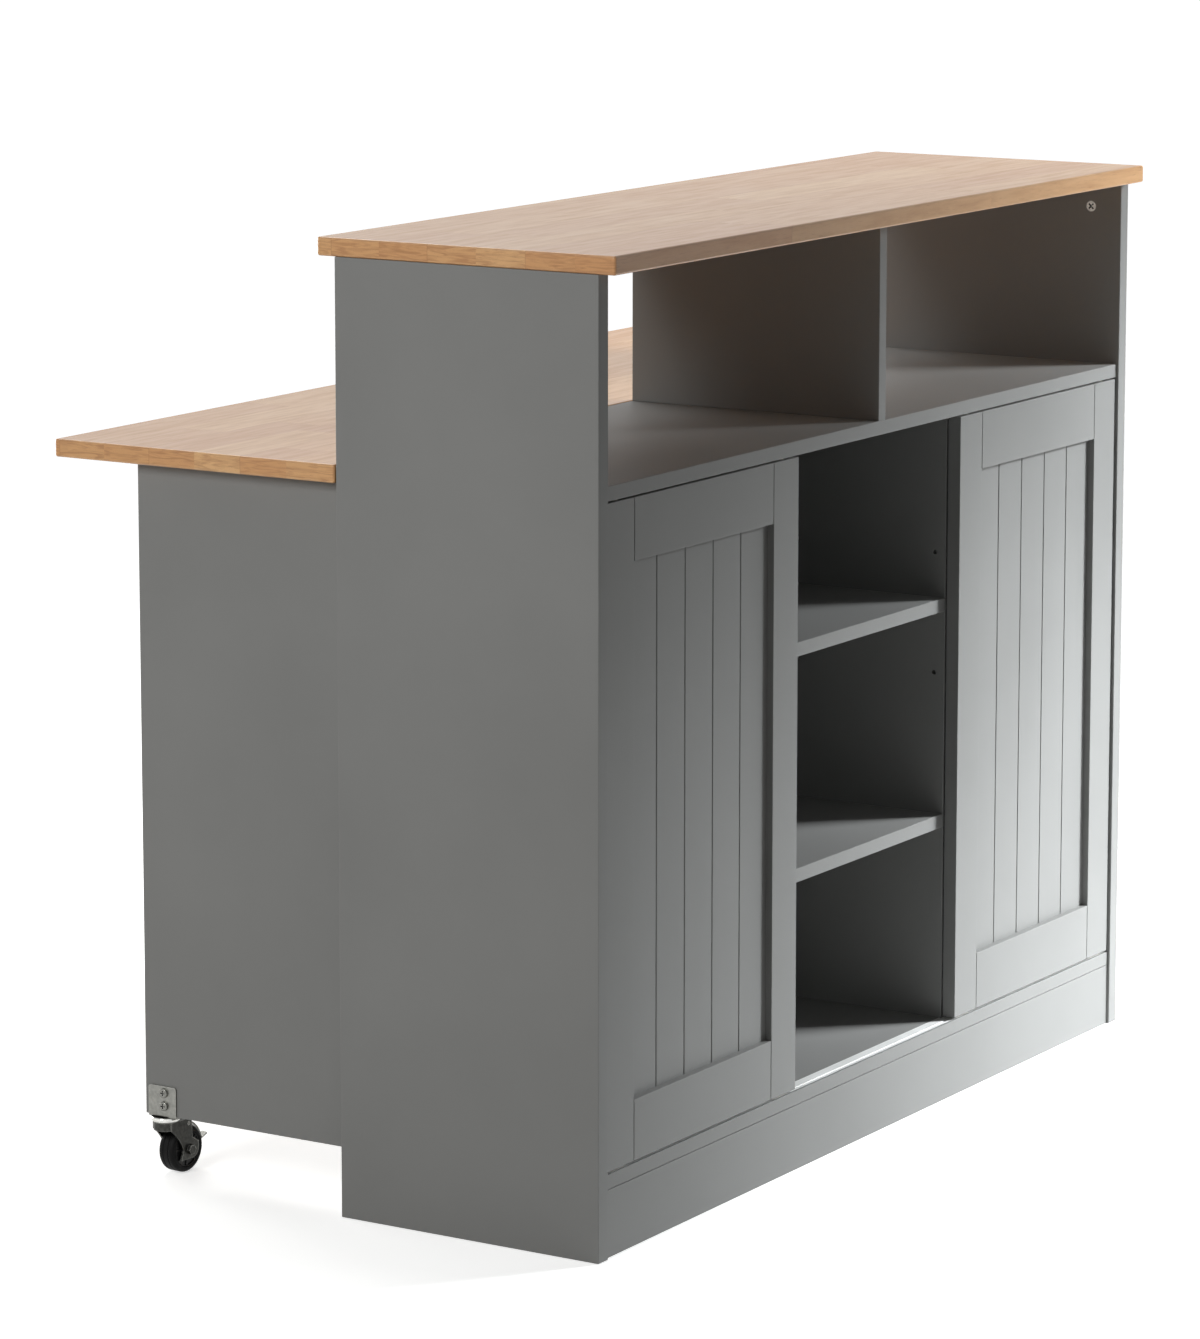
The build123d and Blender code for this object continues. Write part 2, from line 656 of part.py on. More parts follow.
def swivel_caster(side, name):
    """Fork, axle, wheel and brake lever, trailing along the caster's own +X before it is turned."""
    turn = -caster_turn if side == LEFT else 180 + caster_turn
    place = Pos(side * swivel_x, swivel_y, 0) * Rot(0, 0, turn)
    prefix = name + "_caster_"

    skirt_bottom = crown_top - fork_skirt_height
    skirt = rod(fork_outer_half, (0, 0, skirt_bottom), (0, 0, crown_top))
    skirt -= rod(fork_inner_half, (0, 0, skirt_bottom), (0, 0, crown_underside))
    skirt -= span((0, fork_tail), (-fork_outer_half, fork_outer_half), (skirt_bottom, crown_top))
    crown = span((0, fork_tail), (-fork_outer_half, fork_outer_half), (crown_underside, crown_top))
    fork = skirt + crown
    ankle = (caster_trail - fork_foot_radius, axle_height)
    sole = axle_height - fork_foot_radius
    heel_start = (caster_trail + fork_foot_length, sole)
    heel_end = (caster_trail + fork_foot_length + fork_foot_radius, axle_height)
    skirt_corner = (-fork_flare, skirt_bottom)
    cheek_outline = ThreePointArc(skirt_corner, (fork_throat_along, fork_throat_height), ankle)
    cheek_outline += Polyline(ankle, (fork_toe_along, sole), heel_start)
    cheek_outline += TangentArc(heel_start, heel_end, tangent=(1, 0))
    cheek_outline += Polyline(
        heel_end,
        (heel_end[0], fork_hip_height),
        (fork_notch_along, fork_notch_height),
        (fork_tail, crown_top),
        (-fork_flare, crown_top),
        skirt_corner,
    )
    for cheek in (-1, 1):
        fork += plate(cheek_outline, sorted((cheek * fork_inner_half, cheek * fork_outer_half)))

    def across(radius, x, z):
        return rod(radius, (x, -fork_outer_half, z), (x, fork_outer_half, z))

    fork -= across(axle_diameter / 2 + fit_clearance, caster_trail, axle_height)
    fork -= across(brake_pin_diameter / 2 + running_clearance, brake_pivot_along, brake_pivot_height)
    fork -= rod(kingpin_diameter / 2 + running_clearance, (0, 0, crown_underside), (0, 0, crown_top))
    add(prefix + "fork", place * fork)

    hub_place = place * Pos(caster_trail, 0, axle_height)
    add(prefix + "axle", hub_place * axle())
    add(prefix + "wheel", hub_place * wheel())

    def off_tread(gap, angle):
        """Point in x and z that clears the tread by a gap, at an angle up from level behind the axle."""
        spoke = Vector(axle_height + gap, 0).rotate(Axis.Z, angle)
        return (caster_trail + spoke.X, axle_height + spoke.Y)

    bends = ((brake_top_gap, 90), (brake_middle_gap, brake_middle_angle), (brake_end_gap, brake_end_angle))
    inner = [off_tread(gap, angle) for gap, angle in bends]
    outer = [off_tread(gap + brake_sheet, angle) for gap, angle in bends]
    arm_outline = ThreePointArc(*inner) + Line(inner[-1], outer[-1])
    arm_outline += ThreePointArc(*reversed(outer)) + Line(outer[0], inner[0])
    pedal_outline = Polyline(
        inner[-1],
        (inner[-1][0], inner[-1][1] - brake_sheet),
        (brake_tip_along, brake_tip_height - brake_sheet),
        (brake_tip_along, brake_tip_height),
        outer[-1],
        close=True,
    )
    lever = plate(arm_outline, (-brake_arm_width / 2, brake_arm_width / 2))
    lever += plate(pedal_outline, (-brake_pedal_width / 2, brake_pedal_width / 2))
    eye_start = (brake_pivot_along, -brake_arm_width / 2, brake_pivot_height)
    eye_end = (brake_pivot_along, brake_arm_width / 2, brake_pivot_height)
    lever += rod(brake_eye_diameter / 2, eye_start, eye_end)
    lever += across(brake_pin_diameter / 2, brake_pivot_along, brake_pivot_height)
    add(prefix + "brake", place * lever)


def fixed_roller(side, name):
    """Roller in a U bracket under the near end of a table side, turning about X."""
    centre_x = side * roller_x
    plate_y = (roller_y - roller_plate_length / 2, roller_y + roller_plate_length / 2)
    plate_x = (centre_x - fork_outer_half, centre_x + fork_outer_half)
    bracket = span(plate_x, plate_y, (bracket_underside, table_floor_gap))
    for cheek in (-1, 1):
        inner = centre_x + cheek * fork_inner_half
        outer = centre_x + cheek * fork_outer_half
        cheek_y = (roller_y - fork_foot_radius, roller_y + fork_foot_radius)
        bracket += span((inner, outer), cheek_y, (axle_height, bracket_underside))
        bracket += rod(fork_foot_radius, (inner, roller_y, axle_height), (outer, roller_y, axle_height))
    bore_start = (plate_x[0], roller_y, axle_height)
    bracket -= rod(axle_diameter / 2 + fit_clearance, bore_start, (plate_x[1], roller_y, axle_height))

    for offset in (-roller_screw_spacing / 2, roller_screw_spacing / 2):
        seat = (side * table_side_middle, roller_y + offset, bracket_underside)
        place = Plane(origin=seat, x_dir=(0, 1, 0), z_dir=(0, 0, -1)).location
        pan_screw(place)
        bracket -= screw_hole(place)
        drill("table_side_" + name, screw_hole(place))
    add("roller_bracket_" + name, bracket)

    hub_place = Pos(centre_x, roller_y, axle_height) * Rot(0, 0, 90)
    add("roller_axles", hub_place * axle())
    add("roller_wheel_" + name, hub_place * wheel())


side_panels()
carcass_boards()
shelves()
cabinet_joints()
door_tracks()
table_boards()
dock_pads()
for hand, hand_name in SIDE_NAMES.items():
    door(hand, hand_name)
    caster_bracket(hand, hand_name)
    swivel_caster(hand, hand_name)
    fixed_roller(hand, hand_name)

os.makedirs("parts", exist_ok=True)
for node_name, solids in nodes.items():
    pieces = [piece for solid in solids for piece in solid.solids()]
    shape = pieces[0] if len(pieces) == 1 else Compound(children=pieces)
    export_step(shape, os.path.join("parts", node_name + ".step"))
print(len(nodes), "nodes written")
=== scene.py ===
import json
import logging
import math
from dataclasses import dataclass
from enum import Enum
from typing import Any

import bmesh
import bpy
from mathutils import Matrix, Vector


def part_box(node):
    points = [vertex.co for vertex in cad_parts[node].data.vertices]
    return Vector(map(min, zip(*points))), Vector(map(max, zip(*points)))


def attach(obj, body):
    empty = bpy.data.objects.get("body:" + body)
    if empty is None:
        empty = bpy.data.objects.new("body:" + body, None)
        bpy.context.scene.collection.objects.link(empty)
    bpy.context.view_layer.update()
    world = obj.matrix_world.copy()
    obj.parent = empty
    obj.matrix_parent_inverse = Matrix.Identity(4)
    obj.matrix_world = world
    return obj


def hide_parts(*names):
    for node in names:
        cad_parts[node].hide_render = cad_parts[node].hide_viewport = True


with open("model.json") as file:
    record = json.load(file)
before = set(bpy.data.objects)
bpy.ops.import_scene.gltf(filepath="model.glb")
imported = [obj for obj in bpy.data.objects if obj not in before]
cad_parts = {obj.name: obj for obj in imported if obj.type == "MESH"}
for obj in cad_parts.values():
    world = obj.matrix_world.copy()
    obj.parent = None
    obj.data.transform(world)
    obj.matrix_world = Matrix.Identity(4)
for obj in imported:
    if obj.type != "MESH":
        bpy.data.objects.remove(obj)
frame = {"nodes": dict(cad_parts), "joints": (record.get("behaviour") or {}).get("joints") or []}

# Kitchen island: a grey painted bar cabinet with hardwood tops, and a table that rolls out behind.
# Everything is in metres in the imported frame, apart from values whose names end in _mm.
# +X is right as seen from the doors, +Y runs to the table, and +Z is up.

logging.basicConfig(level=logging.INFO, format="%(message)s")
log = logging.getLogger("island")

MM = 0.001
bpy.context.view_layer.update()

WHITE = "#ffffff"

# Noise seldom leaves this range, so a tone or a gloss that follows it runs from end to end here.
NOISE_LOW, NOISE_HIGH = 0.3, 0.7

# Cosine between a face and its rounded edge, where the edge starts to count and where it is full.
EDGE_START, EDGE_FULL = 0.99, 0.8

# How far an edge looks up where its painted highlight, drawn as if light falls from above, starts
# to grow, and where it is full.
UPWARD_HIGHLIGHT_START, UPWARD_HIGHLIGHT_FULL = -0.3, 0.4

# Share of that painted highlight on an edge that looks down.
DOWNWARD_HIGHLIGHT_SHARE = 0.35


class Hand(Enum):
    """Which side of the island a piece is on, as seen from the doors."""

    LEFT = "left"
    RIGHT = "right"


def linear(hex_colour: str) -> tuple[float, float, float, float]:
    """Turn an sRGB hex value into the linear colour that shaders take.

    Args:
        hex_colour: Six hex digits after a hash sign.

    Returns:
        Linear red, green and blue, and full alpha.
    """
    channels = [int(hex_colour[i : i + 2], 16) / 255 for i in (1, 3, 5)]
    flat = [c / 12.92 if c <= 0.04045 else ((c + 0.055) / 1.055) ** 2.4 for c in channels]
    return (flat[0], flat[1], flat[2], 1.0)


def add_node(
    tree: bpy.types.NodeTree,
    kind: str,
    inputs: dict[Any, Any] | None = None,
    stops: tuple[tuple[float, str], ...] = (),
    **attributes: Any,
) -> bpy.types.Node:
    """Add a node with its settings and links.

    Args:
        tree: Node tree that takes the node.
        kind: Blender's type name of the node.
        inputs: Input names or numbers, each with a value or with the socket that feeds it.
        stops: A colour ramp's positions from 0 to 1, each with an sRGB hex value.
        attributes: Settings that aren't sockets.

    Returns:
        The new node.
    """
    node = tree.nodes.new(kind)
    for name, value in attributes.items():
        setattr(node, name, value)
    for key, value in (inputs or {}).items():
        if isinstance(value, bpy.types.NodeSocket):
            tree.links.new(value, node.inputs[key])
        else:
            node.inputs[key].default_value = value
    if stops:
        elements = node.color_ramp.elements
        while len(elements) < len(stops):
            elements.new(0.5)
        for element, (position, colour) in zip(elements, stops):
            element.position = position
            element.color = linear(colour)
    return node


def edge_mask(
    tree: bpy.types.NodeTree, width_mm: float, strength: float
) -> bpy.types.NodeSocket:
    """Find a piece's edges for a painted highlight, strongest on those that look up as if lit from
    above.

    Args:
        tree: Node tree that takes the nodes.
        width_mm: How far the edge reaches from its line.
        strength: Largest value, on an upward edge.

    Returns:
        A value of zero on flat stretches, rising to the strength along edges.
    """
    rounded = add_node(tree, "ShaderNodeBevel", {"Radius": width_mm * MM}, samples=4)
    surface = add_node(tree, "ShaderNodeNewGeometry")
    turn = add_node(
        tree,
        "ShaderNodeVectorMath",
        {0: rounded.outputs["Normal"], 1: surface.outputs["Normal"]},
        operation="DOT_PRODUCT",
    )
    edge = add_node(
        tree,
        "ShaderNodeMapRange",
        {
            "Value": turn.outputs["Value"],
            "From Min": EDGE_START,
            "From Max": EDGE_FULL,
            "To Max": strength,
        },
    )
    # Painted highlight: edges that look up are weighted more, as if lit from above.
    lean = add_node(tree, "ShaderNodeSeparateXYZ", {"Vector": rounded.outputs["Normal"]})
    upward = add_node(
        tree,
        "ShaderNodeMapRange",
        {
            "Value": lean.outputs["Z"],
            "From Min": UPWARD_HIGHLIGHT_START,
            "From Max": UPWARD_HIGHLIGHT_FULL,
            "To Min": DOWNWARD_HIGHLIGHT_SHARE,
        },
    )
    both = add_node(
        tree,
        "ShaderNodeMath",
        {0: edge.outputs["Result"], 1: upward.outputs["Result"]},
        operation="MULTIPLY",
    )
    return both.outputs["Value"]


@dataclass(frozen=True)
class Finish:
    """Base of every finish: a named material round one Principled shader."""

    name: str

    def make(self) -> bpy.types.Material:
        """Build the material, or return the one already built.

        Returns:
            The finished material.
        """
        found = bpy.data.materials.get(self.name)
        if found:
            return found
        material = bpy.data.materials.new(self.name)
        material.use_nodes = True
        tree = material.node_tree
        tree.nodes.clear()
        coords = add_node(tree, "ShaderNodeTexCoord")
        shader = add_node(tree, "ShaderNodeBsdfPrincipled", self.weave(tree, coords))
        add_node(tree, "ShaderNodeOutputMaterial", {"Surface": shader.outputs["BSDF"]})
        return material

    def weave(self, tree: bpy.types.NodeTree, coords: bpy.types.Node) -> dict[str, Any]:
        """Add this finish's own nodes and return what the shader's inputs take."""
        raise NotImplementedError


@dataclass(frozen=True)
class SprayedPaint(Finish):
    """Satin polyurethane paint sprayed on fibreboard."""

    light: str
    dark: str
    mottle_mm: float = 260.0
    mottle_span: tuple[float, float] = (0.32, 0.68)
    peel_mm: float = 2.6
    peel_depth_mm: float = 0.02
    peel_strength: float = 0.35
    # Painted highlight drawn as a paler line along every arris.
    arris_highlight: str = "#a2a29f"
    arris_highlight_mm: float = 1.4
    arris_highlight_strength: float = 0.7
    roughness: tuple[float, float] = (0.5, 0.6)
    ior: float = 1.48
    specular: float = 0.28

    def weave(self, tree: bpy.types.NodeTree, coords: bpy.types.Node) -> dict[str, Any]:
        """Cloudy tone, arrises with a painted highlight, a faint orange peel and a gloss that
        wanders a little.

        Args:
            tree: Node tree of the material.
            coords: Its texture coordinates.

        Returns:
            Inputs of the shader, each with a value or with the socket that feeds it.
        """
        # The eye sees an even grey with soft clouds of thicker and thinner coat.
        place = coords.outputs["Object"]
        clouds = add_node(
            tree,
            "ShaderNodeTexNoise",
            {"Vector": place, "Scale": 1 / (self.mottle_mm * MM), "Detail": 3.0, "Roughness": 0.5},
        )
        tone = add_node(
            tree,
            "ShaderNodeValToRGB",
            {"Fac": clouds.outputs["Fac"]},
            stops=tuple(zip(self.mottle_span, (self.dark, self.light))),
        )
        # Real orange peel is about a millimetre across, drawn coarser here so that it shows.
        peel = add_node(
            tree,
            "ShaderNodeTexNoise",
            {"Vector": place, "Scale": 1 / (self.peel_mm * MM), "Detail": 2.0, "Roughness": 0.55},
        )
        gloss = add_node(
            tree,
            "ShaderNodeMapRange",
            {
                "Value": clouds.outputs["Fac"],
                "From Min": NOISE_LOW,
                "From Max": NOISE_HIGH,
                "To Min": self.roughness[0],
                "To Max": self.roughness[1],
            },
        )
        bump = add_node(
            tree,
            "ShaderNodeBump",
            {
                "Height": peel.outputs["Fac"],
                "Strength": self.peel_strength,
                "Distance": self.peel_depth_mm * MM,
            },
        )
        # Every arris gets a painted highlight, a fine paler line that is strongest where the edge
        # looks up.
        painted = add_node(
            tree,
            "ShaderNodeMix",
            {
                "Factor": edge_mask(tree, self.arris_highlight_mm, self.arris_highlight_strength),
                "A": tone.outputs["Color"],
                "B": linear(self.arris_highlight),
            },
            data_type="RGBA",
        )
        return {
            "Base Color": painted.outputs["Result"],
            "Roughness": gloss.outputs["Result"],
            "Normal": bump.outputs["Normal"],
            "IOR": self.ior,
            "Specular IOR Level": self.specular,
        }


@dataclass(frozen=True)
class Figure:
    """One pattern in the wood: its size along X, Y and Z, and how it darkens the block.

    The darkening starts at the first noise value of the span and has its depth at the second.
    A size without end means that the pattern doesn't change along that axis.
    """

    size_mm: tuple[float, float, float]
    span: tuple[float, float]
    depth: float
    detail: float
    roughness: float = 0.5
    distortion: float = 0.0

    def weave(
        self, tree: bpy.types.NodeTree, place: bpy.types.NodeSocket
    ) -> tuple[bpy.types.NodeSocket, bpy.types.NodeSocket]:
        """Add the pattern's nodes.

        Args:
            tree: Node tree of the material.
            place: Where the pattern is read, in metres.

        Returns:
            The noise itself, and the darkening that it gives.
        """
        scale = tuple(1 / (size * MM) for size in self.size_mm)
        drawn = add_node(tree, "ShaderNodeVectorMath", {0: place, 1: scale}, operation="MULTIPLY")
        noise = add_node(
            tree,
            "ShaderNodeTexNoise",
            {
                "Vector": drawn.outputs["Vector"],
                "Scale": 1.0,
                "Detail": self.detail,
                "Roughness": self.roughness,
                "Distortion": self.distortion,
            },
        )
        darkening = add_node(
            tree,
            "ShaderNodeMapRange",
            {
                "Value": noise.outputs["Fac"],
                "From Min": self.span[0],
                "From Max": self.span[1],
                "To Max": self.depth,
            },
        )
        return noise.outputs["Fac"], darkening.outputs["Result"]


@dataclass(frozen=True)
class LacqueredHardwood(Finish):
    """Rubberwood glued up from staves, sanded and clear lacquered."""

    tones: tuple[str, ...] = ("#ca935e", "#d19d67", "#d7a670", "#ddaf7a")
    tone_places: tuple[float, ...] = (0.0, 0.35, 0.7, 1.0)
    streak: str = "#9c6436"
    stave_mm: float = 57.0
    stave_start_mm: float = 9.0
    block_mm: float = 430.0
    block_jump: float = 7.0
    finger_mm: float = 4.5
    finger_length_mm: float = 9.0
    # Real glue lines and pores are 0.1 to 0.3 mm wide, drawn coarser here so that they show.
    glue_line_mm: float = 0.5
    glue_depth: float = 0.3
    pores: Figure = Figure((16.0, 0.9, 0.9), (0.62, 0.76), 0.35, detail=1.0)
    pore_strength: float = 0.12
    pore_depth_mm: float = 0.05
    grain: Figure = Figure(
        (85.0, 9.6, 9.6), (0.42, 0.78), 0.42, detail=5.0, roughness=0.6, distortion=0.3
    )
    bands: Figure = Figure((math.inf, 34.0, 4.0), (0.42, 0.66), 0.55, detail=3.0, distortion=1.4)
    end_turn: float = 0.6
    roughness: tuple[float, float] = (0.3, 0.42)
    ior: float = 1.5
    coat: float = 0.2
    coat_roughness: float = 0.2

    def blocks(
        self, tree: bpy.types.NodeTree, place: bpy.types.NodeSocket
    ) -> tuple[bpy.types.NodeSocket, bpy.types.NodeSocket, bpy.types.Node]:
        """Lay the staves along X and cut each into blocks.

        Args:
            tree: Node tree of the material.
            place: Where the wood is read, in metres.

        Returns:
            The count of staves across, the count of blocks along, and the block's random draw.
        """
        axes = add_node(tree, "ShaderNodeSeparateXYZ", {"Vector": place})
        across = add_node(
            tree,
            "ShaderNodeMath",
            {
                0: axes.outputs["Y"],
                1: 1 / (self.stave_mm * MM),
                2: self.stave_start_mm / self.stave_mm,
            },
            operation="MULTIPLY_ADD",
        )
        stave = add_node(tree, "ShaderNodeMath", {0: across.outputs["Value"]}, operation="FLOOR")
        stagger = add_node(
            tree, "ShaderNodeTexWhiteNoise", {"W": stave.outputs["Value"]}, noise_dimensions="1D"
        )
        # Blocks end in interlocking fingers, so the joint runs as a zigzag across the stave.
        saw = add_node(
            tree,
            "ShaderNodeMath",
            {0: axes.outputs["Y"], 1: self.finger_mm / 2 * MM},
            operation="PINGPONG",
        )
        zigzag = add_node(
            tree,
            "ShaderNodeMath",
            {
                0: saw.outputs["Value"],
                1: 2 * self.finger_length_mm / self.finger_mm,
                2: axes.outputs["X"],
            },
            operation="MULTIPLY_ADD",
        )
        along = add_node(
            tree,
            "ShaderNodeMath",
            {
                0: zigzag.outputs["Value"],
                1: 1 / (self.block_mm * MM),
                2: stagger.outputs["Value"],
            },
            operation="MULTIPLY_ADD",
        )
        block = add_node(tree, "ShaderNodeMath", {0: along.outputs["Value"]}, operation="FLOOR")
        number = add_node(
            tree,
            "ShaderNodeCombineXYZ",
            {"X": stave.outputs["Value"], "Y": block.outputs["Value"]},
        )
        pick = add_node(
            tree,
            "ShaderNodeTexWhiteNoise",
            {"Vector": number.outputs["Vector"]},
            noise_dimensions="2D",
        )
        return across.outputs["Value"], along.outputs["Value"], pick

    def glue(
        self,
        tree: bpy.types.NodeTree,
        across: bpy.types.NodeSocket,
        along: bpy.types.NodeSocket,
    ) -> bpy.types.NodeSocket:
        """Draw the glue lines between staves and at block ends.

        Args:
            tree: Node tree of the material.
            across: Count of staves.
            along: Count of blocks.

        Returns:
            The darkening that the lines give.
        """
        lines = []
        for count, size_mm in ((across, self.stave_mm), (along, self.block_mm)):
            gap = add_node(tree, "ShaderNodeMath", {0: count, 1: 1.0}, operation="PINGPONG")
            line = add_node(
                tree,
                "ShaderNodeMath",
                {0: gap.outputs["Value"], 1: self.glue_line_mm / size_mm},
                operation="LESS_THAN",
            )
            lines.append(line.outputs["Value"])
        either = add_node(tree, "ShaderNodeMath", dict(enumerate(lines)), operation="MAXIMUM")
        faint = add_node(
            tree,
            "ShaderNodeMath",
            {0: either.outputs["Value"], 1: self.glue_depth},
            operation="MULTIPLY",
        )
        return faint.outputs["Value"]

    def weave(self, tree: bpy.types.NodeTree, coords: bpy.types.Node) -> dict[str, Any]:
        """Staves and blocks, each with its own tone and grain, and bands on the end grain.

        Args:
            tree: Node tree of the material.
            coords: Its texture coordinates.

        Returns:
            Inputs of the shader, each with a value or with the socket that feeds it.
        """
        # The eye sees honey-coloured blocks, fine straight grain, dark pores and a glassy coat.
        place = coords.outputs["Object"]
        across, along, pick = self.blocks(tree, place)
        tone = add_node(
            tree,
            "ShaderNodeValToRGB",
            {"Fac": pick.outputs["Value"]},
            stops=tuple(zip(self.tone_places, self.tones)),
        )
        # Each block starts its grain elsewhere in the noise, as if sawn from another tree.
        jump = add_node(
            tree,
            "ShaderNodeVectorMath",
            {0: pick.outputs["Color"], 1: (self.block_jump,) * 3},
            operation="MULTIPLY",
        )
        moved = add_node(
            tree, "ShaderNodeVectorMath", {0: place, 1: jump.outputs["Vector"]}, operation="ADD"
        )
        grain, grain_depth = self.grain.weave(tree, moved.outputs["Vector"])
        pores, pore_depth = self.pores.weave(tree, moved.outputs["Vector"])
        # Sawn ends show growth rings as level bands that swing up and down along each stave.
        _, band_depth = self.bands.weave(tree, moved.outputs["Vector"])
        facing = add_node(tree, "ShaderNodeSeparateXYZ", {"Vector": coords.outputs["Normal"]})
        end_side = add_node(tree, "ShaderNodeMath", {0: facing.outputs["X"]}, operation="ABSOLUTE")
        end_grain = add_node(
            tree,
            "ShaderNodeMath",
            {0: end_side.outputs["Value"], 1: self.end_turn},
            operation="GREATER_THAN",
        )
        depth = add_node(
            tree,
            "ShaderNodeMix",
            {"Factor": end_grain.outputs["Value"], "A": grain_depth, "B": band_depth},
            data_type="FLOAT",
        )
        colour = tone.outputs["Color"]
        for share in (depth.outputs["Result"], pore_depth, self.glue(tree, across, along)):
            darker = add_node(
                tree,
                "ShaderNodeMix",
                {"Factor": share, "A": colour, "B": linear(self.streak)},
                data_type="RGBA",
            )
            colour = darker.outputs["Result"]
        gloss = add_node(
            tree,
            "ShaderNodeMapRange",
            {
                "Value": grain,
                "From Min": NOISE_LOW,
                "From Max": NOISE_HIGH,
                "To Min": self.roughness[0],
                "To Max": self.roughness[1],
            },
        )
        bump = add_node(
            tree,
            "ShaderNodeBump",
            {
                "Height": pores,
                "Strength": self.pore_strength,
                "Distance": self.pore_depth_mm * MM,
            },
        )
        return {
            "Base Color": colour,
            "Roughness": gloss.outputs["Result"],
            "Normal": bump.outputs["Normal"],
            "IOR": self.ior,
            "Coat Weight": self.coat,
            "Coat Roughness": self.coat_roughness,
        }


@dataclass(frozen=True)
class PlatedSteel(Finish):
    """Pressed or turned steel with a thin zinc plating."""

    light: str
    dark: str
    spangle_mm: float = 4.0
    haze_depth_mm: float = 0.05
    haze_strength: float = 0.15
    roughness: tuple[float, float] = (0.24, 0.42)
    # Paler edges: rubbed plating mixed with a painted highlight.
    rubbed_and_highlit: str = "#d2d2ce"
    rubbed_and_highlit_mm: float = 0.7
    rubbed_and_highlit_strength: float = 0.6
    # Painted shade in the piece's own hollows.
    painted_shade: str = "#141312"
    painted_shade_mm: float = 3.0
    painted_shade_span: tuple[float, float] = (0.75, 0.3)
    painted_shade_strength: float = 0.9

    def weave(self, tree: bpy.types.NodeTree, coords: bpy.types.Node) -> dict[str, Any]:
        """Patchy bright metal with a fine rolled haze, edges paler from rubbing and from a painted
        highlight, and painted shade in its recesses.

        Args:
            tree: Node tree of the material.
            coords: Its texture coordinates.

        Returns:
            Inputs of the shader, each with a value or with the socket that feeds it.
        """
        # The eye sees a cool grey metal, duller in small clouds.
        # It is bright along its edges, partly rubbed plating and partly a painted highlight, and
        # dark in its slots from painted shade.
        clouds = add_node(
            tree,
            "ShaderNodeTexNoise",
            {
                "Vector": coords.outputs["Object"],
                "Scale": 1 / (self.spangle_mm * MM),
                "Detail": 3.0,
                "Roughness": 0.55,
            },
        )
        tone = add_node(
            tree,
            "ShaderNodeValToRGB",
            {"Fac": clouds.outputs["Fac"]},
            stops=((NOISE_LOW, self.dark), (NOISE_HIGH, self.light)),
        )
        gloss = add_node(
            tree,
            "ShaderNodeMapRange",
            {
                "Value": clouds.outputs["Fac"],
                "From Min": NOISE_LOW,
                "From Max": NOISE_HIGH,
                "To Min": self.roughness[1],
                "To Max": self.roughness[0],
            },
        )
        bump = add_node(
            tree,
            "ShaderNodeBump",
            {
                "Height": clouds.outputs["Fac"],
                "Strength": self.haze_strength,
                "Distance": self.haze_depth_mm * MM,
            },
        )
        # Edges are paler: partly rubbed plating, partly a painted highlight strongest on edges
        # that look up.
        worn_and_highlit = add_node(
            tree,
            "ShaderNodeMix",
            {
                "Factor": edge_mask(tree, self.rubbed_and_highlit_mm, self.rubbed_and_highlit_strength),
                "A": tone.outputs["Color"],
                "B": linear(self.rubbed_and_highlit),
            },
            data_type="RGBA",
        )
        # Painted shade: ambient occlusion darkens the piece's own slots, corners and hollows.
        recess = add_node(
            tree,
            "ShaderNodeAmbientOcclusion",
            {"Distance": self.painted_shade_mm * MM},
            samples=8,
            only_local=True,
        )
        shade_amount = add_node(
            tree,
            "ShaderNodeMapRange",
            {
                "Value": recess.outputs["AO"],
                "From Min": self.painted_shade_span[0],
                "From Max": self.painted_shade_span[1],
                "To Max": self.painted_shade_strength,
            },
        )
        shaded = add_node(
            tree,
            "ShaderNodeMix",
            {
                "Factor": shade_amount.outputs["Result"],
                "A": worn_and_highlit.outputs["Result"],
                "B": linear(self.painted_shade),
            },
            data_type="RGBA",
        )
        return {
            "Base Color": shaded.outputs["Result"],
            "Roughness": gloss.outputs["Result"],
            "Normal": bump.outputs["Normal"],
            "Metallic": 1.0,
        }


@dataclass(frozen=True)
class MouldedPolymer(Finish):
    """Rubber or nylon straight from the mould."""

    light: str
    dark: str
    grit_mm: float = 1.2
    grit_depth_mm: float = 0.03
    grit_strength: float = 0.3
    dust_per_grit: float = 12.0
    dust_span: tuple[float, float] = (0.35, 0.75)
    roughness: tuple[float, float] = (0.45, 0.6)
    ior: float = 1.5
    specular: float = 0.5

    def weave(self, tree: bpy.types.NodeTree, coords: bpy.types.Node) -> dict[str, Any]:
        """Fine spark-eroded grain with a slight change of tone.

        Args:
            tree: Node tree of the material.
            coords: Its texture coordinates.

        Returns:
            Inputs of the shader, each with a value or with the socket that feeds it.
        """
        # The eye sees a soft matt skin with a fine tooth and dusty patches.
        # Real spark-eroded grain is under 0.1 mm, drawn coarser here so that it shows.
        place = coords.outputs["Object"]
        grit = add_node(
            tree,
            "ShaderNodeTexNoise",
            {"Vector": place, "Scale": 1 / (self.grit_mm * MM), "Detail": 2.0, "Roughness": 0.6},
        )
        dust_mm = self.dust_per_grit * self.grit_mm
        dust = add_node(
            tree,
            "ShaderNodeTexNoise",
            {"Vector": place, "Scale": 1 / (dust_mm * MM), "Detail": 3.0},
        )
        tone = add_node(
            tree,
            "ShaderNodeValToRGB",
            {"Fac": dust.outputs["Fac"]},
            stops=tuple(zip(self.dust_span, (self.dark, self.light))),
        )
        gloss = add_node(
            tree,
            "ShaderNodeMapRange",
            {
                "Value": dust.outputs["Fac"],
                "From Min": NOISE_LOW,
                "From Max": NOISE_HIGH,
                "To Min": self.roughness[0],
                "To Max": self.roughness[1],
            },
        )
        bump = add_node(
            tree,
            "ShaderNodeBump",
            {
                "Height": grit.outputs["Fac"],
                "Strength": self.grit_strength,
                "Distance": self.grit_depth_mm * MM,
            },
        )
        return {
            "Base Color": tone.outputs["Color"],
            "Roughness": gloss.outputs["Result"],
            "Normal": bump.outputs["Normal"],
            "IOR": self.ior,
            "Specular IOR Level": self.specular,
        }


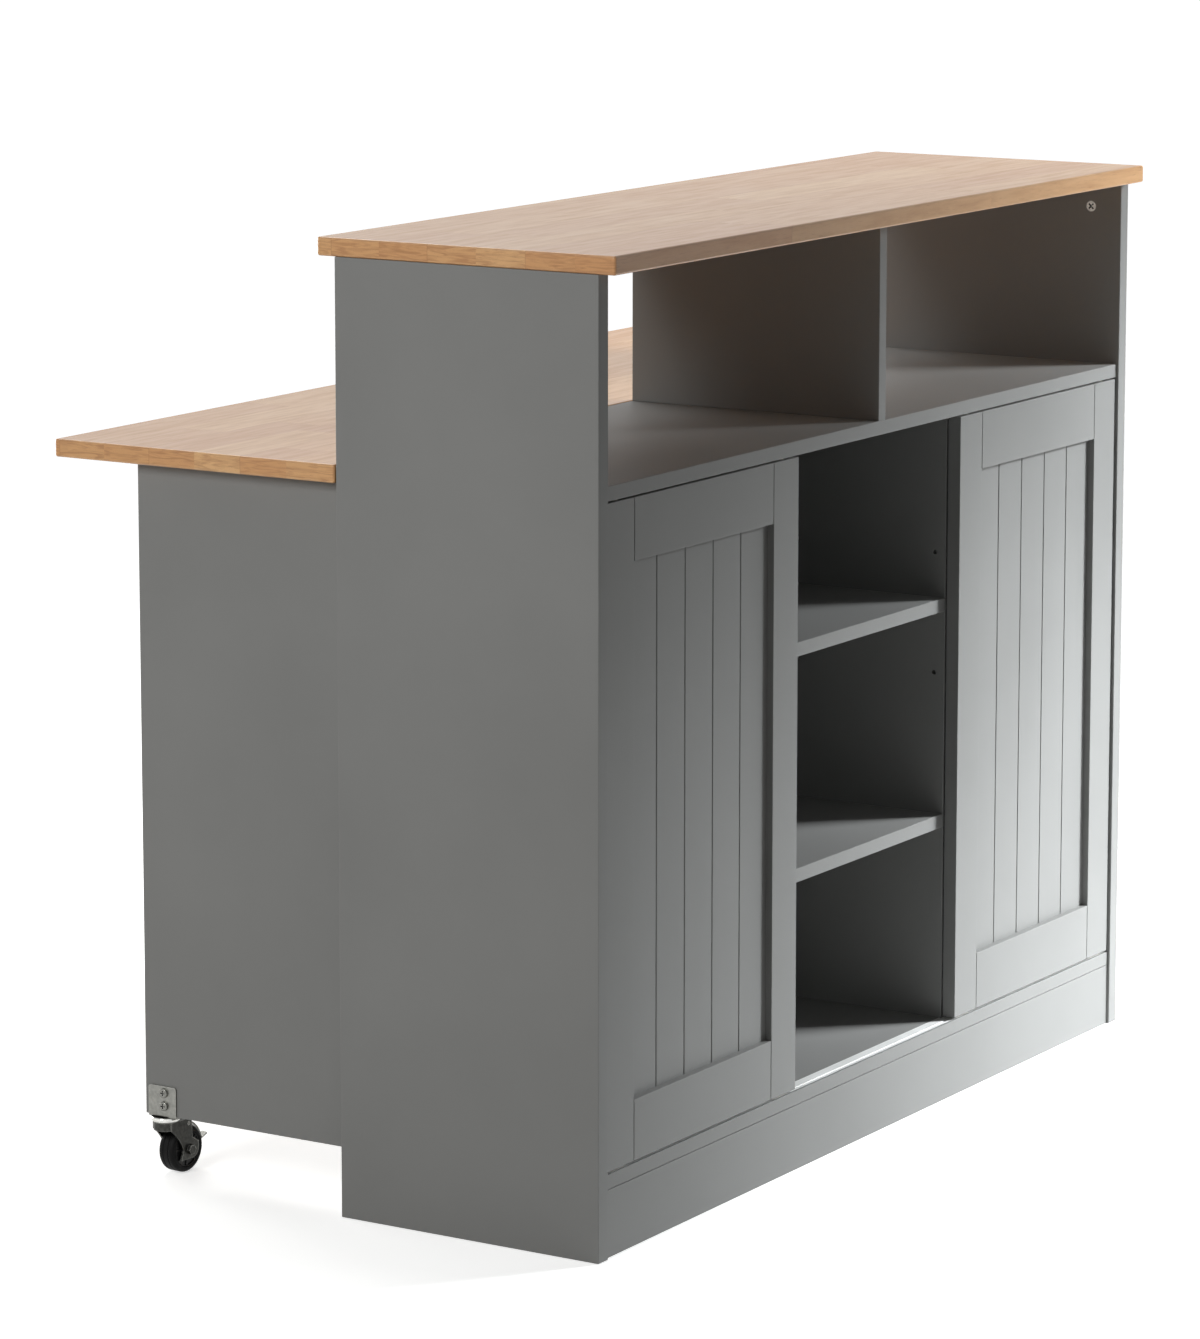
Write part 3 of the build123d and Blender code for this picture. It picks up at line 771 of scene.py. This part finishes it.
GREY_PAINT = SprayedPaint("satin_sprayed_grey_paint", light="#868684", dark="#7f7f7d")
PAINTED_HARDBOARD = SprayedPaint(
    "sprayed_grey_hardboard", light="#7e7e7c", dark="#767674", peel_mm=3.4, roughness=(0.46, 0.58)
)
HARDWOOD = LacqueredHardwood("lacquered_rubberwood_staves")
BEECH = LacqueredHardwood(
    "turned_beech",
    tones=("#c79c6b", "#cfa676", "#d5ae80", "#dab68b"),
    stave_mm=600.0,
    block_mm=2000.0,
)
ZINC = PlatedSteel("zinc_plated_steel", light="#8d8d88", dark="#7a7a76", roughness=(0.34, 0.4))
TURNED_ZINC = PlatedSteel(
    "zinc_plated_turned_steel", light="#858580", dark="#6e6e6a", roughness=(0.22, 0.3)
)
LEVER_ZINC = PlatedSteel(
    "zinc_plated_pressed_lever", light="#6f6f6b", dark="#5a5a56", roughness=(0.24, 0.32)
)
# Painted highlight: the race's zinc is drawn much paler than the bracket's, standing in for the
# shine on its rolled wall.
RACE_ZINC_HIGHLIT = PlatedSteel(
    "rolled_race_zinc_painted_highlight", light="#e2e2de", dark="#cfcfcb", roughness=(0.12, 0.2)
)
CAST_ZINC = PlatedSteel(
    "tumbled_cast_zinc", light="#e0e0dc", dark="#cdcdc9", spangle_mm=2.0, roughness=(0.5, 0.6)
)
DULL_ZINC = PlatedSteel(
    "dull_zinc_pressed_steel",
    light="#464643",
    dark="#343432",
    roughness=(0.36, 0.46),
    # Paler edges: rubbed plating mixed with a painted highlight.
    rubbed_and_highlit="#aeaea9",
    rubbed_and_highlit_mm=1.6,
    rubbed_and_highlit_strength=0.85,
)
WHITE_TRACK = MouldedPolymer(
    "extruded_white_pvc", light="#eeeeec", dark="#e2e2df", grit_mm=2.0, roughness=(0.3, 0.4)
)
RUBBER = MouldedPolymer(
    "moulded_black_rubber",
    light="#141414",
    dark="#090909",
    roughness=(0.5, 0.62),
    specular=0.12,
)
HUB = MouldedPolymer(
    "moulded_charcoal_polypropylene",
    light="#1e1e1d",
    dark="#161616",
    roughness=(0.4, 0.5),
    specular=0.25,
)
NYLON = MouldedPolymer(
    "natural_white_nylon", light="#e6e4dc", dark="#d8d6cd", roughness=(0.4, 0.5)
)
GREY_NYLON = MouldedPolymer(
    "moulded_grey_nylon", light="#5f5f5d", dark="#525250", roughness=(0.4, 0.5)
)


def dress(finish: Finish, *nodes: str) -> None:
    """Give CAD nodes a finish.

    Args:
        finish: The finish they take.
        nodes: Names of the nodes.
    """
    material = finish.make()
    for name in nodes:
        node = frame["nodes"][name]
        for slot in node.material_slots:
            slot.material = material
        log.info("%s: %s", name, finish.name)


def find_joint(name: str) -> dict[str, Any]:
    """Return the frame's joint of that name."""
    return next(joint for joint in frame["joints"] if joint["name"] == name)


def turn_section(
    mesh: bmesh.types.BMesh, section: list[tuple[float, float]], steps: int, closed: bool
) -> list[list[bmesh.types.BMVert]]:
    """Turn a section about Z into a skin of four-sided faces.

    Args:
        mesh: Mesh that takes the skin.
        section: Points as radius and height.
        steps: How many copies of the section stand round the axis.
        closed: Whether the last point of the section joins the first.

    Returns:
        The points of each copy, in the section's order.
    """
    copies = []
    for step in range(steps):
        angle = 2 * math.pi * step / steps
        across, along = math.cos(angle), math.sin(angle)
        copies.append([mesh.verts.new((r * across, r * along, z)) for r, z in section])
    count = len(section)
    for here, there in zip(copies, copies[1:] + copies[:1]):
        for i in range(count if closed else count - 1):
            j = (i + 1) % count
            mesh.faces.new((here[i], here[j], there[j], there[i]))
    return copies


def make_piece(mesh: bmesh.types.BMesh, name: str, *finishes: Finish) -> bpy.types.Object:
    """Turn a finished mesh into an object of the scene.

    Args:
        mesh: The mesh, in metres, which is freed.
        name: Name of the piece.
        finishes: Finishes in the order of the faces' material numbers.

    Returns:
        The new object.
    """
    data = bpy.data.meshes.new(name)
    mesh.to_mesh(data)
    mesh.free()
    for finish in finishes:
        data.materials.append(finish.make())
    piece = bpy.data.objects.new(name, data)
    bpy.context.scene.collection.objects.link(piece)
    return piece


@dataclass
class Carcass:
    """Bar-height cabinet: boards, shelves, board fittings and door tracks."""

    boards: tuple[str, ...] = (
        "serving_shelf",
        "centre_divider",
        "bottom_board",
        "plinth_front",
        "plinth_rear",
        "niche_shelf_upper",
        "niche_shelf_lower",
    )

    def build(self) -> None:
        """Dress every piece of the cabinet."""
        dress(HARDWOOD, "bar_top")
        dress(GREY_PAINT, *self.boards)
        for side in Hand:
            name = side.value
            dress(GREY_PAINT, f"side_panel_{name}", f"partition_{name}", f"{name}_bay_shelf")
        dress(PAINTED_HARDBOARD, "back_panel")
        dress(CAST_ZINC, "cam_locks")
        dress(ZINC, "cam_bolts", "shelf_pins")
        dress(BEECH, "dowels")
        dress(WHITE_TRACK, "bottom_track", "top_channel")
        dress(RUBBER, "door_bumpers")
        dress(GREY_NYLON, "dock_pads")


@dataclass
class SlidingDoor:
    """One framed beadboard door with its glides and guides."""

    side: Hand
    frame_pieces: tuple[str, ...] = (
        "outer_stile",
        "inner_stile",
        "top_rail",
        "bottom_rail",
        "panel",
    )
    runners: tuple[str, ...] = ("glides", "guides")

    def build(self) -> None:
        """Dress every piece of the door."""
        prefix = f"{self.side.value}_door_"
        dress(GREY_PAINT, *(prefix + piece for piece in self.frame_pieces))
        dress(NYLON, *(prefix + piece for piece in self.runners))


@dataclass
class RollOutTable:
    """Table boards, their fittings and the brackets that hold its wheels."""

    cross_boards: tuple[str, ...] = ("table_back", "table_apron")

    def build(self) -> None:
        """Dress every piece of the table."""
        dress(HARDWOOD, "table_top")
        dress(GREY_PAINT, *self.cross_boards, *(f"table_side_{side.value}" for side in Hand))
        dress(CAST_ZINC, "table_cam_locks")
        dress(TURNED_ZINC, "bracket_screws")
        dress(ZINC, "table_cam_bolts", "roller_axles")
        for side in Hand:
            dress(ZINC, f"caster_bracket_{side.value}", f"roller_bracket_{side.value}")


@dataclass
class MouldedWheel:
    """Rubber-tyred wheel with a grooved tread and a ribbed hub on both faces."""

    node: str
    body: str
    spin: str
    diameter_mm: float = 50.0
    width_mm: float = 20.0
    shoulder_mm: float = 4.0
    shoulder_steps: int = 6
    groove_mm: float = 0.7
    groove_places_mm: tuple[float, ...] = (-3.2, 3.2)
    rim_mm: float = 7.0
    lip_mm: float = 0.4
    seam_mm: float = 0.5
    tyre_lip_mm: float = 0.3
    dish_mm: float = 2.0
    draft_mm: float = 0.6
    hub_mm: float = 16.0
    hub_reach_mm: float = 10.6
    hub_chamfer_mm: float = 0.5
    bore_mm: float = 6.1
    rib_count: int = 8
    rib_mm: float = 1.8
    rib_root_mm: float = 0.4
    rib_tip_mm: float = 0.2
    rib_sink_mm: float = 0.8
    rib_edge_mm: float = 0.35
    crease_deg: float = 32.0
    steps: int = 96

    def profile(self) -> list[tuple[float, float]]:
        """Trace the section from the bore over the tread and back to the bore.

        Returns:
            Points as radius and distance along the axle, in millimetres.
        """
        radius = self.diameter_mm / 2
        half = self.width_mm / 2
        hub = self.hub_mm / 2
        dish = half - self.dish_mm
        dish_radius = radius - self.rim_mm
        lip = half - self.lip_mm
        seam = dish_radius + 2 * self.seam_mm
        face = [
            (self.bore_mm / 2, self.hub_reach_mm),
            (hub - self.hub_chamfer_mm, self.hub_reach_mm),
            (hub, self.hub_reach_mm - self.hub_chamfer_mm),
            (hub + self.draft_mm, dish),
            (dish_radius - self.draft_mm, dish),
            (dish_radius, lip),
            (seam - self.seam_mm, lip),
            (seam, lip - self.seam_mm),
            (seam + self.seam_mm, half - self.tyre_lip_mm),
        ]
        for step in range(self.shoulder_steps + 1):
            angle = math.radians(90 * step / self.shoulder_steps)
            out = radius - self.shoulder_mm + self.shoulder_mm * math.sin(angle)
            along = half - self.shoulder_mm + self.shoulder_mm * math.cos(angle)
            face.append((out, along))
        tread = []
        for place in sorted(self.groove_places_mm, reverse=True):
            tread.append((radius, place + self.groove_mm))
            tread.append((radius - self.groove_mm, place))
            tread.append((radius, place - self.groove_mm))
        other = [(out, -along) for out, along in reversed(face)]
        return face + tread + other

    def ribs(self, mesh: bmesh.types.BMesh) -> None:
        """Add the radial ribs in the dish of each face.

        Args:
            mesh: Mesh that takes the ribs, in millimetres about the axle.
        """
        inner = self.hub_mm / 2 - self.rib_root_mm
        outer = self.diameter_mm / 2 - self.rim_mm + self.rib_tip_mm
        level = self.width_mm / 2 - self.dish_mm / 2 - self.rib_sink_mm
        size = (outer - inner, self.rib_mm, self.dish_mm)
        for number in range(self.rib_count):
            turn = Matrix.Rotation(2 * math.pi * number / self.rib_count, 4, "Z")
            for face in (-1, 1):
                middle = ((outer + inner) / 2, 0.0, face * level)
                place = turn @ Matrix.Translation(middle) @ Matrix.Diagonal((*size, 1.0))
                rib = bmesh.ops.create_cube(mesh, size=1.0, matrix=place)
                edges = {edge for corner in rib["verts"] for edge in corner.link_edges}
                bmesh.ops.bevel(
                    mesh,
                    geom=list(edges),
                    offset=self.rib_edge_mm,
                    segments=2,
                    affect="EDGES",
                    profile=0.5,
                )

    def build(self) -> None:
        """Make the wheel in place of its CAD node and dress it."""
        low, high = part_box(self.node)
        joint = find_joint(self.spin)
        mesh = bmesh.new()
        turn_section(mesh, self.profile(), self.steps, closed=True)
        bmesh.ops.recalc_face_normals(mesh, faces=mesh.faces[:])
        self.ribs(mesh)
        tyre_start = self.diameter_mm / 2 - self.rim_mm + self.seam_mm
        for face in mesh.faces:
            face.smooth = True
            face.material_index = 0 if face.calc_center_median().xy.length > tyre_start else 1
        for edge in mesh.edges:
            edge.smooth = edge.calc_face_angle(0.0) < math.radians(self.crease_deg)
        axle = Vector(joint["axis"])
        upright = Vector((0.0, 0.0, 1.0)).rotation_difference(axle).to_matrix().to_4x4()
        mesh.transform(Matrix.Translation((low + high) / 2) @ upright @ Matrix.Scale(MM, 4))
        piece = make_piece(mesh, self.node + "_moulded", RUBBER, HUB)
        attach(piece, self.body)
        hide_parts(self.node)
        log.info("%s: grooved tyre and ribbed hub", self.node)


@dataclass
class BallRace:
    """Rolled cup round the ball race under a caster bracket."""

    name: str
    swivel: str
    body: str = "table"
    top_mm: float = 64.4
    bottom_mm: float = 60.1
    rim_mm: float = 14.6
    belly_mm: float = 15.3
    roll_steps: int = 8
    steps: int = 64

    def profile(self) -> list[tuple[float, float]]:
        """Trace the rolled wall from its top rim round to its bottom rim.

        Returns:
            Points as radius and height, in millimetres.
        """
        middle = (self.top_mm + self.bottom_mm) / 2
        half = (self.top_mm - self.bottom_mm) / 2
        section = []
        for step in range(self.roll_steps + 1):
            angle = math.radians(90 - 180 * step / self.roll_steps)
            radius = self.rim_mm + (self.belly_mm - self.rim_mm) * math.cos(angle)
            section.append((radius, middle + half * math.sin(angle)))
        return section

    def build(self) -> None:
        """Turn the cup's section about the swivel axis, close its ends and dress it."""
        joint = find_joint(self.swivel)
        mesh = bmesh.new()
        copies = turn_section(mesh, self.profile(), self.steps, closed=False)
        mesh.faces.new([copy[0] for copy in copies])
        mesh.faces.new([copy[-1] for copy in reversed(copies)])
        bmesh.ops.recalc_face_normals(mesh, faces=mesh.faces[:])
        for face in mesh.faces:
            face.smooth = len(face.verts) == 4
        place = Vector((joint["pos_m"][0], joint["pos_m"][1], 0.0))
        mesh.transform(Matrix.Translation(place) @ Matrix.Scale(MM, 4))
        # The cup takes zinc drawn paler as a painted highlight.
        piece = make_piece(mesh, self.name, RACE_ZINC_HIGHLIT)
        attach(piece, self.body)
        log.info("%s: rolled cup", self.name)


@dataclass
class BrakedCaster:
    """Swivel caster with a brake lever, and the fixed roller on the same side."""

    side: Hand

    def build(self) -> None:
        """Make the wheels and the race, and dress every other piece of the caster."""
        name = self.side.value
        dress(DULL_ZINC, f"{name}_caster_fork", f"{name}_caster_axle")
        dress(LEVER_ZINC, f"{name}_caster_brake")
        BallRace(f"{name}_ball_race", f"{name}_caster_swivel").build()
        MouldedWheel(
            f"{name}_caster_wheel", f"caster_{name}_wheel", f"{name}_caster_spin"
        ).build()
        MouldedWheel(f"roller_wheel_{name}", f"roller_{name}", f"{name}_roller_spin").build()


@dataclass(frozen=True)
class SoftBox:
    """One square studio lamp with a grid that narrows its beam."""

    name: str
    place: tuple[float, float, float]
    aim: tuple[float, float, float]
    watts: float
    size: float
    spread_deg: float = 180.0
    tint: str = WHITE
    mirrored: bool = True

    def build(self) -> None:
        """Hang the lamp, turned to what it lights and kept out of gloss if it isn't mirrored."""
        data = bpy.data.lights.new(self.name, "AREA")
        data.energy = self.watts
        data.size = self.size
        data.spread = math.radians(self.spread_deg)
        data.color = linear(self.tint)[:3]
        lamp = bpy.data.objects.new(self.name, data)
        lamp.location = self.place
        lamp.visible_glossy = self.mirrored
        beam = Vector(self.aim) - Vector(self.place)
        lamp.rotation_euler = beam.to_track_quat("-Z", "Y").to_euler()
        bpy.context.scene.collection.objects.link(lamp)


@dataclass
class Studio:
    """Camera at the photograph's angle, pale floor and soft light."""

    image_px: tuple[int, int] = (1200, 1339)
    focal_px: float = 5288.3
    place: tuple[float, float, float] = (-4.8414, -2.9909, 1.5408)
    yaw_deg: float = 58.0097
    pitch_deg: float = 8.8724
    shift: float = -0.12
    sensor_mm: float = 36.0
    farthest: float = 200.0
    sky: float = 0.06
    floor_size: float = 60.0
    floor_drop_mm: float = 0.5
    floor_colour: str = "#e6e6e4"
    floor_lift: float = 0.6
    floor_near: float = 0.7
    floor_fade: float = 1.35
    lamps: tuple[SoftBox, ...] = (
        SoftBox(
            "key",
            (2.3, -2.1, 1.6),
            (0.78, -0.3, 0.12),
            watts=24.5,
            size=0.8,
            spread_deg=44.0,
            tint="#f7fbff",
            mirrored=False,
        ),
        SoftBox("fill", (-3.6, 0.3, 2.2), (0.0, 0.0, 0.5), watts=59.0, size=1.2),
        SoftBox("top", (0.9, 2.0, 3.4), (0.0, 0.35, 0.75), watts=19.0, size=1.6, spread_deg=120.0),
        SoftBox("rear", (0.3, 3.6, 0.9), (0.0, 0.2, 0.5), watts=64.0, size=1.4),
    )

    def build(self) -> None:
        """Make the camera, the floor, the world and the lamps."""
        self.camera()
        self.floor()
        self.world()
        for lamp in self.lamps:
            lamp.build()

    def camera(self) -> None:
        """Make the camera."""
        data = bpy.data.cameras.new("camera")
        data.sensor_width = self.sensor_mm
        data.lens = self.focal_px * self.sensor_mm / max(self.image_px)
        data.shift_y = self.shift
        data.clip_end = self.farthest
        camera = bpy.data.objects.new("camera", data)
        camera.location = self.place
        tilt = math.radians(90 - self.pitch_deg)
        camera.rotation_euler = (tilt, 0.0, math.radians(-self.yaw_deg))
        bpy.context.scene.collection.objects.link(camera)
        bpy.context.scene.camera = camera

    def white_rays(self, tree: bpy.types.NodeTree) -> bpy.types.NodeSocket:
        """Find the rays that see white: the camera's, and those off gloss or through glass.

        Args:
            tree: Node tree that takes the nodes.

        Returns:
            A value of one for those rays and zero for the rest.
        """
        ray = add_node(tree, "ShaderNodeLightPath")
        seen = ray.outputs["Is Camera Ray"]
        for kind in ("Is Glossy Ray", "Is Transmission Ray"):
            either = add_node(
                tree, "ShaderNodeMath", {0: seen, 1: ray.outputs[kind]}, operation="MAXIMUM"
            )
            seen = either.outputs["Value"]
        return seen

    def floor(self) -> None:
        """Make a pale floor that keeps the shadow and fades to white away from the island."""
        half = self.floor_size / 2
        mesh = bpy.data.meshes.new("floor")
        corners = [(-half, -half, 0.0), (half, -half, 0.0), (half, half, 0.0), (-half, half, 0.0)]
        mesh.from_pydata(corners, [], [(0, 1, 2, 3)])
        floor = bpy.data.objects.new("floor", mesh)
        floor.location.z = -self.floor_drop_mm * MM
        bpy.context.scene.collection.objects.link(floor)
        material = bpy.data.materials.new("pale_floor")
        material.use_nodes = True
        tree = material.node_tree
        tree.nodes.clear()
        plain = add_node(tree, "ShaderNodeBsdfDiffuse", {"Color": linear(self.floor_colour)})
        coords = add_node(tree, "ShaderNodeTexCoord")
        reach = add_node(
            tree, "ShaderNodeVectorMath", {0: coords.outputs["Object"]}, operation="LENGTH"
        )
        fade = add_node(
            tree,
            "ShaderNodeMapRange",
            {
                "Value": reach.outputs["Value"],
                "From Min": self.floor_near,
                "From Max": self.floor_fade,
                "To Min": self.floor_lift,
            },
        )
        lift = add_node(
            tree,
            "ShaderNodeEmission",
            {"Color": linear(WHITE), "Strength": fade.outputs["Result"]},
        )
        lifted = add_node(
            tree, "ShaderNodeAddShader", {0: plain.outputs["BSDF"], 1: lift.outputs["Emission"]}
        )
        mixed = add_node(
            tree,
            "ShaderNodeMixShader",
            {0: self.white_rays(tree), 1: plain.outputs["BSDF"], 2: lifted.outputs["Shader"]},
        )
        add_node(tree, "ShaderNodeOutputMaterial", {"Surface": mixed.outputs["Shader"]})
        mesh.materials.append(material)

    def world(self) -> None:
        """Make a white surround that lights the object at a plain level."""
        world = bpy.data.worlds.new("studio")
        bpy.context.scene.world = world
        world.use_nodes = True
        tree = world.node_tree
        tree.nodes.clear()
        strength = add_node(
            tree, "ShaderNodeMapRange", {"Value": self.white_rays(tree), "To Min": self.sky}
        )
        sky = add_node(
            tree,
            "ShaderNodeBackground",
            {"Color": linear(WHITE), "Strength": strength.outputs["Result"]},
        )
        add_node(tree, "ShaderNodeOutputWorld", {"Surface": sky.outputs["Background"]})


def main() -> None:
    """Build every sub-assembly in order."""
    bpy.context.scene.view_settings.view_transform = "Standard"
    Carcass().build()
    RollOutTable().build()
    for side in Hand:
        SlidingDoor(side).build()
        BrakedCaster(side).build()
    Studio().build()


if __name__ == "__main__":
    main()
